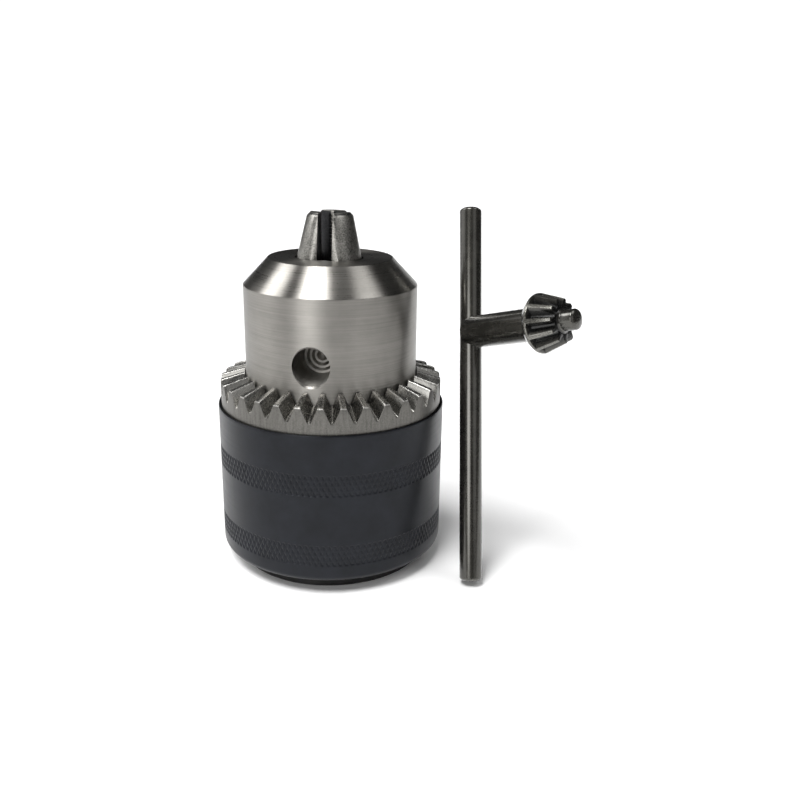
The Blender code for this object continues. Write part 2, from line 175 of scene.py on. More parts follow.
# Key: the bar runs up from the floor, and the shaft's lengths run from the bar to the pilot's end.
KEY_X = 26.4 * MM
KEY_Y = -16.2 * MM
KEY_LEAN = radians(21.5)
KEY_SIDE_LEAN = radians(-0.8)
KEY_BAR_R = 2.05 * MM
KEY_BAR_H = 68.8 * MM
KEY_BAR_END_ROUND = 0.6 * MM
KEY_BAR_END_H = 0.45 * MM
KEY_BAR_SIDE_ROUND = 0.4 * MM
KEY_SHAFT_H = 45.5 * MM
KEY_SHAFT_R = 2.97 * MM
KEY_BEARING = radians(44.4)
KEY_PINION_W = (15.1 * MM, 16.25 * MM, 20.7 * MM)
KEY_PINION_R = 5.28 * MM
KEY_PINION_BACK_R = 4.4 * MM
KEY_PINION_BACK_ROUND = 0.4 * MM
KEY_PINION_RIM_ROUND = 0.25 * MM
KEY_PINION_SLOPE = 0.32
KEY_PINION_STEPS = 176
KEY_TEETH = 11
KEY_FIRST_GAP = radians(27.3)
KEY_TOOTH_CREST_W = 0.62 * MM
KEY_TOOTH_DEPTH = 1.58 * MM
KEY_TOOTH_ROOT_W = 0.42 * MM
KEY_GAP_OVER = 0.15
KEY_GAP_SCALES = (0.98, 0.70)
KEY_PILOT_R = 1.8 * MM
KEY_PILOT_END = 23.7 * MM
KEY_PILOT_DOME = 0.6 * MM
KEY_PILOT_FLARE = 0.35 * MM
KEY_EDGE = 0.07 * MM
KEY_SEAT_GAP = 0.03 * MM
KEY_SEAT_HALF = 10 * MM

# Zones of a surface: each band runs from where a change starts to where it is complete.
NOSE_SMOOTHER = -0.12
NOSE_BLEND = 0.1 * MM
REAR_BLEND = 1 * MM
JAW_BACK_BAND = (3.8 * MM, 3.95 * MM)
JAW_LAND_BAND = (0.24 * MM, 0.34 * MM)
JAW_TIP_BAND = (-0.16 * MM, -0.10 * MM)
TOOTH_OUTER_BAND = (RING_R - 0.12 * MM, RING_R - 0.02 * MM)
TOOTH_OUTER_ROUGHER = 0.14
TOOTH_CREST_DROP = PILOT_HOLE_Z - TOOTH_TIP_Z
TOOTH_CREST_BAND = (TOOTH_CREST_DROP + 0.12 * MM, TOOTH_CREST_DROP + 0.3 * MM)
PINION_BAND = (KEY_PINION_W[1] - 0.2 * MM, KEY_PINION_W[1] + 0.1 * MM)
PILOT_BAND = (KEY_PILOT_R + 0.1 * MM, KEY_PILOT_R + 0.3 * MM)
PINION_GAP_SHARES = (0.82, 0.985)
PINION_CREST_SHARES = (0.985, 0.995)

# Tones of each surface, the darker and the lighter, and the spans of a noise that lead from one to the other.
STEEL_BRIGHT = ((0.19, 0.183, 0.170), (0.33, 0.317, 0.294))
# The body's tone from the groove down, darker than the bright steel.
STEEL_DARK_REAR = ((0.02, 0.02, 0.021), (0.045, 0.044, 0.043))
# Jaws: painted shade makes the flats nearly black; the second tone is the steel's own, on the back, gripping
# edge and tip.
JAW_FLAT_SHADE = ((0.015, 0.015, 0.016), (0.05, 0.05, 0.052))
JAW_UNSHADED_TONE = ((0.10, 0.098, 0.092), (0.38, 0.37, 0.342))
# Ring teeth: the flanks are painted lighter as painted highlight, and the outer face darker as painted shade.
TOOTH_FLANK_HIGHLIT = ((0.17, 0.166, 0.156), (0.35, 0.343, 0.322))
TOOTH_FACE_SHADED = ((0.085, 0.082, 0.076), (0.19, 0.184, 0.170))
TOOTH_WORN = ((0.30, 0.293, 0.275), (0.62, 0.61, 0.58))
JACKET_BLACK = ((0.0055, 0.0065, 0.009), (0.011, 0.0125, 0.017))
KEY_OILED = ((0.052, 0.050, 0.044), (0.074, 0.071, 0.062))
# Painted shade in the gaps between the pinion's teeth.
KEY_GAP_SHADE = ((0.006, 0.006, 0.006), (0.015, 0.015, 0.014))
KEY_WORN = ((0.07, 0.068, 0.06), (0.20, 0.195, 0.175))
FLOOR_PALE = ((0.90, 0.90, 0.90), (0.92, 0.92, 0.92))
WIDE_SPAN = (0.3, 0.7)
TIGHT_SPAN = (0.35, 0.65)
WORN_SPAN = (0.35, 0.6)

CAMERA_PLACE = (12.94 * MM, -155.74 * MM, 80.78 * MM)
CAMERA_DOWN = radians(18.12)
CAMERA_ROLL = radians(1.01)
CAMERA_SENSOR_MM = 36.0
CAMERA_LENS_MM = 38.9
CAMERA_CLIP = (0.01, 20.0)

# The studio's light by direction: bearing and elevation, full and fading half angles, all in degrees,
# and strength.
WORLD_SHOWN = 1.1
WORLD_DIM = 0.05
WORLD_BOXES = (
    (-38.0, 66.0, 7.0, 17.0, 19.0),
    (-27.0, 20.0, 5.0, 20.0, 5.0),
    (-104.0, 42.0, 5.0, 17.0, 8.0),
    (-95.0, 5.0, 14.0, 40.0, 1.1),
    (80.0, 55.0, 5.0, 18.0, 3.6),
    (40.0, 25.0, 8.0, 26.0, 0.7),
    (165.0, -4.0, 8.0, 18.0, 0.5),
    (0.0, 90.0, 8.0, 24.0, 0.6),
)

FLOOR_HALF = 4.0
FLOOR_CELLS = 8

# Steps round a turned piece.
TURNED_STEPS = 256
JAW_HOLE_STEPS = 128
ROUND_STEPS = 96

SHARP_ANGLE = radians(32.0)
JACKET_SHARP_ANGLE = radians(50.0)
BEVEL_ANGLE = radians(35.0)
BEVEL_SEGMENTS = 2
ARC_EDGE_SHARE = 0.49
WELD = 1e-7
SLIVER = 1e-8


# ---------------------------------------------------------------- geometry helpers


def bearing_vector(bearing):
    return Vector((sin(bearing), -cos(bearing), 0.0))


def facing(bearing, place):
    """Matrix set at a place, whose Z points level along a bearing."""
    turn = bearing_vector(bearing).to_track_quat("Z", "Y").to_matrix().to_4x4()
    return Matrix.Translation(place) @ turn


def link(name, mesh, material=None, sharp=SHARP_ANGLE):
    made = bpy.data.objects.new(name, mesh)
    bpy.context.scene.collection.objects.link(made)
    if material:
        mesh.materials.append(material)
    mesh.shade_smooth()
    mesh.set_sharp_from_angle(angle=sharp)
    return made


def rounded(corners, arc_steps=4, closed=True):
    """Points of a profile of (point, radius) corners, with an arc of its radius in place of each."""
    made = []
    count = len(corners)
    for index, (point, radius) in enumerate(corners):
        corner = Vector(point)
        end = not closed and index in (0, count - 1)
        if end or radius <= 0:
            made.append(tuple(corner))
            continue
        before = Vector(corners[index - 1][0]) - corner
        after = Vector(corners[(index + 1) % count][0]) - corner
        half = before.angle(after) / 2
        reach = min(radius / tan(half), before.length * ARC_EDGE_SHARE, after.length * ARC_EDGE_SHARE)
        radius = reach * tan(half)
        start = before.normalized()
        stop = after.normalized()
        centre = (start + stop).normalized() * (radius / sin(half))
        first = (start * reach - centre).normalized()
        last = (stop * reach - centre).normalized()
        for step in range(arc_steps + 1):
            made.append(tuple(corner + centre + first.slerp(last, step / arc_steps) * radius))
    return made


def grid_mesh(name, columns, close_rows=True):
    """A mesh from columns of points, each a profile, that follow each other all the way round."""
    mesh = bpy.data.meshes.new(name)
    rows = len(columns[0])
    points = [point for column in columns for point in column]
    faces = []
    bands = rows if close_rows else rows - 1
    for place in range(len(columns)):
        here = place * rows
        beside = (place + 1) % len(columns) * rows
        for row in range(bands):
            above = (row + 1) % rows
            faces.append((here + row, beside + row, beside + above, here + above))
    mesh.from_pydata(points, [], faces)
    bm = bmesh.new()
    bm.from_mesh(mesh)
    bmesh.ops.remove_doubles(bm, verts=bm.verts, dist=WELD)
    bmesh.ops.dissolve_degenerate(bm, edges=bm.edges, dist=SLIVER)
    bmesh.ops.recalc_face_normals(bm, faces=bm.faces)
    bm.to_mesh(mesh)
    bm.free()
    return mesh


def turned(name, outline, material=None, steps=TURNED_STEPS, closed=True):
    """A profile of (radius, height) points turned about Z."""
    columns = []
    for step in range(steps):
        outward = bearing_vector(2 * pi * step / steps)
        columns.append([outward * radius + Vector((0, 0, height)) for radius, height in outline])
    return link(name, grid_mesh(name, columns, close_rows=closed), material)


def apply_modifiers(piece):
    """Replaces the piece's mesh with what its modifiers make of it."""
    graph = bpy.context.evaluated_depsgraph_get()
    mesh = bpy.data.meshes.new_from_object(piece.evaluated_get(graph))
    piece.modifiers.clear()
    piece.data = mesh
    mesh.shade_smooth()
    mesh.set_sharp_from_angle(angle=SHARP_ANGLE)


def cut(piece, *cutters):
    """Takes the cutters' shapes out of the piece, and removes the cutters."""
    for cutter in cutters:
        boolean = piece.modifiers.new("cut", "BOOLEAN")
        boolean.operation = "DIFFERENCE"
        boolean.object = cutter
        boolean.solver = "EXACT"
    apply_modifiers(piece)
    for cutter in cutters:
        bpy.data.objects.remove(cutter)


def bevel(piece, width):
    made = piece.modifiers.new("bevel", "BEVEL")
    made.width = width
    made.segments = BEVEL_SEGMENTS
    made.limit_method = "ANGLE"
    made.angle_limit = BEVEL_ANGLE
    made.harden_normals = False
    apply_modifiers(piece)


def corners_among(geometry):
    return [item for item in geometry if isinstance(item, bmesh.types.BMVert)]


def cutter_from(name, bm):
    """A piece made of the bmesh's faces, all turned outwards; it frees the bmesh."""
    bmesh.ops.recalc_face_normals(bm, faces=bm.faces)
    mesh = bpy.data.meshes.new(name)
    bm.to_mesh(mesh)
    bm.free()
    return link(name, mesh)


def hulls(name, point_sets):
    """A piece made of the convex hull of each set of points."""
    bm = bmesh.new()
    for points in point_sets:
        corners = [bm.verts.new(point) for point in points]
        made = bmesh.ops.convex_hull(bm, input=corners)
        extra = set(made["geom_interior"]) | set(made["geom_unused"])
        bmesh.ops.delete(bm, geom=corners_among(extra), context="VERTS")
    return cutter_from(name, bm)


# ---------------------------------------------------------------- chuck body


def jaw_bearing(index):
    return FIRST_PILOT_BEARING + pi / JAW_COUNT + 2 * pi * index / JAW_COUNT


def jaw_axis_radius(z):
    return JAW_OFFSET_AT_NOSE + (NOSE_Z - z) * JAW_SLOPE


def jaw_cone_radius(z):
    """Distance from the axis to the jaws' outer side at a height."""
    return jaw_axis_radius(z) + JAW_R / cos(JAW_LEAN)


def jaw_frame(index):
    """Matrix whose Z runs forwards along the jaw's axis and whose X points outwards, set at the tip."""
    outward = bearing_vector(jaw_bearing(index))
    forward = outward * -sin(JAW_LEAN) + Vector((0, 0, cos(JAW_LEAN)))
    normal = outward * cos(JAW_LEAN) + Vector((0, 0, sin(JAW_LEAN)))
    side = forward.cross(normal)
    tip = outward * jaw_axis_radius(JAW_TIP_Z) + Vector((0, 0, JAW_TIP_Z))
    return Matrix.Translation(tip) @ Matrix((normal, side, forward)).transposed().to_4x4()


def thread_outline():
    """The rear bore's wall: crests and roots of the thread, from its lead-in to its runout."""
    points = []
    root_r = THREAD_BORE_R + THREAD_DEPTH
    z = THREAD_PITCH
    while z < THREAD_BORE_DEPTH - THREAD_PITCH:
        points.append((THREAD_BORE_R, z))
        points.append((THREAD_BORE_R, z + THREAD_CREST_SHARE * THREAD_PITCH))
        for share in THREAD_ROOT_SHARES:
            points.append((root_r, z + share * THREAD_PITCH))
        z += THREAD_PITCH
    points.append((THREAD_BORE_R, z))
    return points


def build_body(material):
    groove_low, groove_high = GROOVE_Z
    floor_low, floor_high = [jaw_cone_radius(z) - GROOVE_UNDER_JAWS for z in GROOVE_Z]
    flange_low, flange_high = FLANGE_Z
    corners = [
        ((NOSE_R, NOSE_Z), WIDE_EDGE),
        ((BODY_R, SHOULDER_Z), SHOULDER_EDGE),
        ((BODY_R, groove_high), CRISP_EDGE),
        ((floor_high, groove_high), 0),
        ((floor_low, groove_low), 0),
        ((WAIST_R, groove_low), CRISP_EDGE),
        ((WAIST_R, flange_high), SOFT_EDGE),
        ((FLANGE_R, flange_high), SOFT_EDGE),
        ((FLANGE_R, flange_low), WIDE_EDGE),
        ((REAR_R, flange_low), CRISP_EDGE),
        ((REAR_R, REAR_CHAMFER), FINE_EDGE),
        ((REAR_R - REAR_CHAMFER, 0.0), FINE_EDGE),
        ((THREAD_BORE_R + THREAD_BORE_CHAMFER, 0.0), CRISP_EDGE),
        ((THREAD_BORE_R, THREAD_BORE_CHAMFER), 0),
        *[(point, 0) for point in thread_outline()],
        ((THREAD_BORE_R, THREAD_BORE_DEPTH), 0),
        ((THROUGH_R, THREAD_BORE_DEPTH + THREAD_BORE_TAPER_H), 0),
        ((THROUGH_R, NOSE_Z), SOFT_EDGE),
    ]
    body = turned("body_turned", rounded(corners), material)
    cutters = []
    for index in range(JAW_COUNT):
        cutters += [jaw_hole(index), pilot_hole(index)]
    cut(body, *cutters)
    return body


def jaw_hole(index):
    """The bore that a jaw slides in, long enough for its whole travel."""
    length = JAW_LENGTH + JAW_RETRACT + JAW_HOLE_SPARE
    outline = [(0.0, JAW_STOCK), (JAW_HOLE_R, JAW_STOCK), (JAW_HOLE_R, -length), (0.0, -length)]
    made = turned("jaw_hole", outline, steps=JAW_HOLE_STEPS, closed=False)
    made.matrix_world = jaw_frame(index)
    return made


def pilot_hole(index):
    """A drilled hole with a countersunk mouth, a conical floor and the rings that the drill leaves."""
    bearing = FIRST_PILOT_BEARING + 2 * pi * index / JAW_COUNT
    wall = BODY_R - PILOT_HOLE_CHAMFER - PILOT_HOLE_FLOOR
    walls = [
        (PILOT_HOLE_R - ring % 2 * DRILL_RING_DEPTH, PILOT_HOLE_FLOOR + wall * (1 - ring / DRILL_RINGS))
        for ring in range(DRILL_RINGS)
    ]
    cone = [
        (PILOT_HOLE_R * share, PILOT_HOLE_FLOOR - DRILL_CONE_H * (1 - share) + ring % 2 * DRILL_CONE_STEP)
        for ring, share in enumerate(DRILL_CONE_SHARES)
    ]
    outline = [
        (0.0, BODY_R + CUTTER_OVER),
        (PILOT_HOLE_R + PILOT_HOLE_CHAMFER + CUTTER_OVER, BODY_R + CUTTER_OVER),
        *walls,
        *cone,
        (0.0, PILOT_HOLE_FLOOR - DRILL_CONE_H),
    ]
    made = turned("pilot_hole", outline, steps=ROUND_STEPS, closed=False)
    made.matrix_world = facing(bearing, (0, 0, PILOT_HOLE_Z))
    return made


# ---------------------------------------------------------------- jaws


def build_jaw(index, material):
    """A round jaw with two flats, whose meeting edge is serrated and whose tip is chamfered."""
    outline = [
        (0.0, JAW_STOCK),
        (JAW_R, JAW_STOCK),
        (JAW_R, -JAW_LENGTH + JAW_REAR_CHAMFER),
        (JAW_R - JAW_REAR_CHAMFER, -JAW_LENGTH),
        (0.0, -JAW_LENGTH),
    ]
    jaw = turned(f"jaw_{index + 1}_detailed", outline, material, steps=ROUND_STEPS, closed=False)
    jaw.matrix_world = jaw_frame(index)
    cut(jaw, grip_cutter(index), tip_cutter(), serrations(index), rack_cutter(index))
    bevel(jaw, JAW_EDGE)
    return jaw


def grip_cutter(index):
    """All that lies outside the jaw's third of the circle, which leaves two flats and a narrow land."""
    far = GRIP_CUTTER_REACH
    wide = tan(pi / JAW_COUNT)
    outline = [
        (JAW_GRIP_OFFSET + JAW_LAND_IN, JAW_LAND_IN * wide),
        (JAW_GRIP_OFFSET + far / wide, far),
        (-far, far),
        (-far, -far),
        (JAW_GRIP_OFFSET + far / wide, -far),
        (JAW_GRIP_OFFSET + JAW_LAND_IN, -JAW_LAND_IN * wide),
    ]
    bm = bmesh.new()
    face = bm.faces.new([bm.verts.new((x, y, GRIP_CUTTER_LOW)) for x, y in outline])
    grown = bmesh.ops.extrude_face_region(bm, geom=[face])
    bmesh.ops.translate(bm, verts=corners_among(grown["geom"]), vec=(0, 0, GRIP_CUTTER_H))
    made = cutter_from("grip_cutter", bm)
    made.rotation_euler.z = jaw_bearing(index) - pi / 2
    return made


def tip_cutter():
    """The space in front of the jaws' tips, with the cone that chamfers them."""
    reach = TIP_CUTTER_REACH
    outline = [
        (0.0, JAW_TIP_Z + TIP_CUTTER_H),
        (reach, JAW_TIP_Z + TIP_CUTTER_H),
        (reach, JAW_TIP_Z - (reach - JAW_TIP_CHAMFER_R)),
        (JAW_TIP_CHAMFER_R, JAW_TIP_Z),
        (0.0, JAW_TIP_Z),
    ]
    return turned("tip_cutter", outline, closed=False)


def serrations(index):
    """Small V notches across the gripping edge."""
    turn = Matrix.Rotation(jaw_bearing(index) - pi / 2, 4, "Z")
    inner = JAW_GRIP_OFFSET - SERRATION_IN
    outer = JAW_GRIP_OFFSET + SERRATION_OUT
    sets = []
    z = JAW_TIP_Z - SERRATION_FIRST
    while z > JAW_REAR_Z + SERRATION_END:
        wedge = ((inner, z + SERRATION_HALF), (inner, z - SERRATION_HALF), (outer, z))
        sets.append([
            turn @ Vector((x, side * SERRATION_REACH, level))
            for x, level in wedge
            for side in (1, -1)
        ])
        z -= SERRATION_PITCH
    return hulls("serrations", sets)


def rack_cutter(index):
    """Notches across the jaw's outer side, in mesh with the nut's thread."""
    jaw = jaw_frame(index)
    ridge = NUT_REAR_Z + NUT_PITCH * cos(JAW_LEAN) * jaw_bearing(index) / (2 * pi)
    offset = ((JAW_TIP_Z + JAW_R * sin(JAW_LEAN) - ridge) / cos(JAW_LEAN)) % NUT_PITCH
    levels = ((JAW_R - RACK_DEPTH, RACK_FLOOR_HALF), (JAW_R + RACK_OVER, RACK_MOUTH_HALF))
    past_rear = 2
    sets = []
    for notch in range(int((JAW_LENGTH - offset) / NUT_PITCH) + past_rear):
        centre = offset + NUT_PITCH * notch
        if centre <= RACK_START:
            continue
        sets.append([
            jaw @ Vector((x, side * RACK_REACH, -centre + along * half))
            for x, half in levels
            for side in (-1, 1)
            for along in (-1, 1)
        ])
    return hulls("rack_cutter", sets)


# ---------------------------------------------------------------- ring gear and jacket


def tooth_line():
    """One pitch of the ring's teeth at its outer face, as (angle, height) points from valley to valley."""
    pitch = 2 * pi * RING_R / RING_TEETH
    crest = TOOTH_CREST_W / 2
    root = TOOTH_ROOT_W / 2
    corners = [
        ((-pitch / 2, TOOTH_ROOT_Z), 0),
        ((-pitch / 2 + root, TOOTH_ROOT_Z), TOOTH_ROOT_ROUND),
        ((-crest, TOOTH_TIP_Z), TOOTH_CREST_ROUND),
        ((crest, TOOTH_TIP_Z), TOOTH_CREST_ROUND),
        ((pitch / 2 - root, TOOTH_ROOT_Z), TOOTH_ROOT_ROUND),
        ((pitch / 2, TOOTH_ROOT_Z), 0),
    ]
    line = rounded(corners, arc_steps=3, closed=False)
    dense = []
    for (x0, z0), (x1, z1) in zip(line, line[1:]):
        parts = max(1, round(abs(z1 - z0) / TOOTH_STEP))
        for part in range(parts):
            share = part / parts
            dense.append(((x0 + (x1 - x0) * share) / RING_R, z0 + (z1 - z0) * share))
    return dense


def nick(point, share):
    """Height of the small nicks in a tooth's surface, more towards the crest, where the share is 1."""
    coarse = noise.noise(point * NICK_COARSE) * NICK_COARSE_H
    fine = noise.noise(point * NICK_FINE) * NICK_FINE_H
    return (coarse + fine) * (NICK_AT_ROOT + NICK_TOWARDS_CREST * share)


def ring_column(outward, outer_z):
    """A radial section of the ring: along the tooth to its outer edge, down the face and back to the bore."""
    column = []
    for step in range(RING_RADIAL_STEPS + 1):
        radius = RING_BORE_R + (RING_R - RING_BORE_R) * step / RING_RADIAL_STEPS
        z = PILOT_HOLE_Z - (PILOT_HOLE_Z - outer_z) * radius / RING_R
        column.append(outward * radius + Vector((0, 0, z)))
    edge = column[-1]
    slant = TOOTH_EDGE * TOOTH_EDGE_SHARE
    column[-1] = edge - outward * TOOTH_EDGE
    column.append(edge - outward * slant - Vector((0, 0, slant)))
    column.append(edge - Vector((0, 0, TOOTH_EDGE)))
    crest_share = (outer_z - TOOTH_ROOT_Z) / (TOOTH_TIP_Z - TOOTH_ROOT_Z)
    for point in column:
        point.z += nick(point, crest_share)
    for part in range(1, TOOTH_FACE_STEPS + 1):
        z = edge.z - TOOTH_EDGE + (TOOTH_FOOT_Z - edge.z + TOOTH_EDGE) * part / TOOTH_FACE_STEPS
        column.append(outward * RING_R + Vector((0, 0, z)))
    foot_z, shoulder_z, roof_z = RING_Z
    under = (
        (RING_R, shoulder_z),
        (RING_SKIRT_R, shoulder_z),
        (RING_SKIRT_R, foot_z),
        (RING_POCKET_R, foot_z),
        (RING_POCKET_R, roof_z),
        (RING_BORE_R, roof_z),
    )
    column += [outward * radius + Vector((0, 0, z)) for radius, z in under]
    return column


def build_ring(material):
    line = tooth_line()
    columns = []
    for tooth in range(RING_TEETH):
        middle = FIRST_VALLEY_BEARING + 2 * pi * (tooth + 0.5) / RING_TEETH
        for angle, outer_z in line:
            columns.append(ring_column(bearing_vector(middle + angle), outer_z))
    return link("ring_teeth", grid_mesh("ring_teeth", columns), material)


def knurl(angle, z):
    """Depth of the diamond knurl below the jacket's surface at a bearing and height."""
    for low, high in KNURL_BANDS:
        if low <= z <= high:
            u = angle * KNURL_COUNT / (2 * pi)
            v = (z - low) / KNURL_HEIGHT
            grooves = [abs((x + 0.5) % 1.0 - 0.5) for x in (u + v, u - v)]
            depth = max(0.0, 1 - min(grooves) / KNURL_GROOVE_SHARE)
            fade = min(1.0, (z - low) / KNURL_FADE, (high - z) / KNURL_FADE)
            return KNURL_DEPTH * depth * max(0.0, fade)
    return 0.0


def jacket_outline():
    """The jacket's profile, with close rows in the knurled bands and a plain row on each side of them."""
    low, high = JACKET_Z
    turns = [radians(angle) for angle in range(0, 91, 10)]
    edge = JACKET_R - JACKET_EDGE
    rounding = [(edge + JACKET_EDGE * cos(a), low + JACKET_EDGE * (1 - sin(a))) for a in turns]
    heights = [high - JACKET_TOP_EDGE, high - JACKET_TOP_ROW]
    for band_low, band_high in reversed(KNURL_BANDS):
        steps = round((band_high - band_low) / KNURL_ROW)
        heights.append(band_high + KNURL_GUARD)
        heights += [band_high - (band_high - band_low) * step / steps for step in range(steps + 1)]
        heights.append(band_low - KNURL_GUARD)
    return [
        (JACKET_LIP_R + JACKET_TOP_CORNER, high),
        (JACKET_R - JACKET_TOP_EDGE, high),
        (JACKET_R - JACKET_TOP_CORNER, high - JACKET_TOP_CORNER),
        *[(JACKET_R, z) for z in heights],
        *rounding,
        (JACKET_MOUTH_R, low),
        (JACKET_MOUTH_R, JACKET_MOUTH_Z),
        (JACKET_WALL_R, JACKET_MOUTH_Z),
        (JACKET_WALL_R, JACKET_SEAT_Z),
        (JACKET_LIP_R, JACKET_SEAT_Z),
        (JACKET_LIP_R, high - JACKET_TOP_CORNER),
    ]


def build_jacket(material):
    outline = jacket_outline()
    columns = []
    count = KNURL_COUNT * KNURL_COLUMNS
    for step in range(count):
        angle = 2 * pi * step / count
        outward = bearing_vector(angle)
        columns.append([
            outward * (radius - (knurl(angle, z) if radius == JACKET_R else 0.0)) + Vector((0, 0, z))
            for radius, z in outline
        ])
    mesh = grid_mesh("jacket_knurled", columns)
    return link("jacket_knurled", mesh, material, sharp=JACKET_SHARP_ANGLE)


# ---------------------------------------------------------------- key


def key_frame():
    """Matrix whose Z runs up the key's bar from its lower end."""
    lean = Matrix.Rotation(KEY_SIDE_LEAN, 4, "Y") @ Matrix.Rotation(-KEY_LEAN, 4, "X")
    lift = KEY_BAR_R * sin(KEY_LEAN)
    return Matrix.Translation((KEY_X, KEY_Y, lift)) @ lean


def build_key_bar(material):
    end_r = KEY_BAR_R - KEY_BAR_END_ROUND
    corners = [
        ((0.0, KEY_BAR_H), 0),
        ((end_r, KEY_BAR_H), KEY_BAR_END_ROUND),
        ((KEY_BAR_R, KEY_BAR_H - KEY_BAR_END_H), KEY_BAR_SIDE_ROUND),
        ((KEY_BAR_R, KEY_BAR_END_H), KEY_BAR_SIDE_ROUND),
        ((end_r, 0.0), KEY_BAR_END_ROUND),
        ((0.0, 0.0), 0),
    ]
    outline = rounded(corners, closed=False)
    bar = turned("key_bar_round", outline, material, steps=ROUND_STEPS, closed=False)
    bar.matrix_world = key_frame()
    return bar


def pinion_gaps():
    """The gaps between the pinion's teeth, which taper towards the apex of its cone."""
    rim = KEY_PINION_W[1]
    hub = Vector((0, 0, rim + KEY_PINION_R / KEY_PINION_SLOPE))
    tip_half = (2 * pi * KEY_PINION_R / KEY_TEETH - KEY_TOOTH_CREST_W) / 2
    root_half = KEY_TOOTH_ROOT_W / 2
    section = (
        (KEY_PINION_R - KEY_TOOTH_DEPTH, root_half),
        (KEY_PINION_R + KEY_TOOTH_DEPTH * KEY_GAP_OVER, tip_half + (tip_half - root_half) * KEY_GAP_OVER),
    )
    sets = []
    for tooth in range(KEY_TEETH):
        bearing = KEY_FIRST_GAP + 2 * pi * tooth / KEY_TEETH
        outward = bearing_vector(bearing)
        along = bearing_vector(bearing + pi / 2)
        points = []
        for radius, half in section:
            base = outward * radius + Vector((0, 0, rim)) - hub
            points += [base - along * half, base + along * half]
        sets.append([hub + point * scale for scale in KEY_GAP_SCALES for point in points])
    return hulls("key_gaps", sets)


def build_key_shaft(material):
    """Shaft, bevel pinion and pilot; local Z points from the bar to the pilot's end."""
    back, rim, front = KEY_PINION_W
    front_r = KEY_PINION_R - (front - rim) * KEY_PINION_SLOPE
    dome_z = KEY_PILOT_END - KEY_PILOT_DOME
    turns = [radians(angle) for angle in range(15, 90, 15)]
    dome = [(KEY_PILOT_R * sin(a), dome_z + KEY_PILOT_DOME * cos(a)) for a in turns]
    corners = [
        ((0.0, KEY_PILOT_END), 0),
        *[(point, 0) for point in dome],
        ((KEY_PILOT_R, dome_z), 0),
        ((KEY_PILOT_R, front + KEY_PILOT_FLARE), CRISP_EDGE),
        ((KEY_PILOT_R + KEY_PILOT_FLARE, front), CRISP_EDGE),
        ((front_r, front), FINE_EDGE),
        ((KEY_PINION_R, rim), KEY_PINION_RIM_ROUND),
        ((KEY_PINION_BACK_R, back), KEY_PINION_BACK_ROUND),
        ((KEY_SHAFT_R, back), KEY_PINION_BACK_ROUND),
        ((KEY_SHAFT_R, 0.0), 0),
        ((0.0, 0.0), 0),
    ]
    outline = rounded(corners, closed=False)
    shaft = turned("key_pinion", outline, material, steps=KEY_PINION_STEPS, closed=False)
    cut(shaft, pinion_gaps())
    bevel(shaft, KEY_EDGE)
    shaft.matrix_world = key_frame() @ facing(KEY_BEARING, (0, 0, KEY_SHAFT_H))
    cut(shaft, bar_seat())
    return shaft


def bar_seat():
    """The saddle in the shaft's end that fits round the bar."""
    radius = KEY_BAR_R + KEY_SEAT_GAP
    outline = [(0.0, KEY_SEAT_HALF), (radius, KEY_SEAT_HALF), (radius, -KEY_SEAT_HALF), (0.0, -KEY_SEAT_HALF)]
    seat = turned("key_seat", outline, steps=ROUND_STEPS, closed=False)
    seat.matrix_world = key_frame() @ Matrix.Translation((0, 0, KEY_SHAFT_H))
    return seat


# ---------------------------------------------------------------- materials


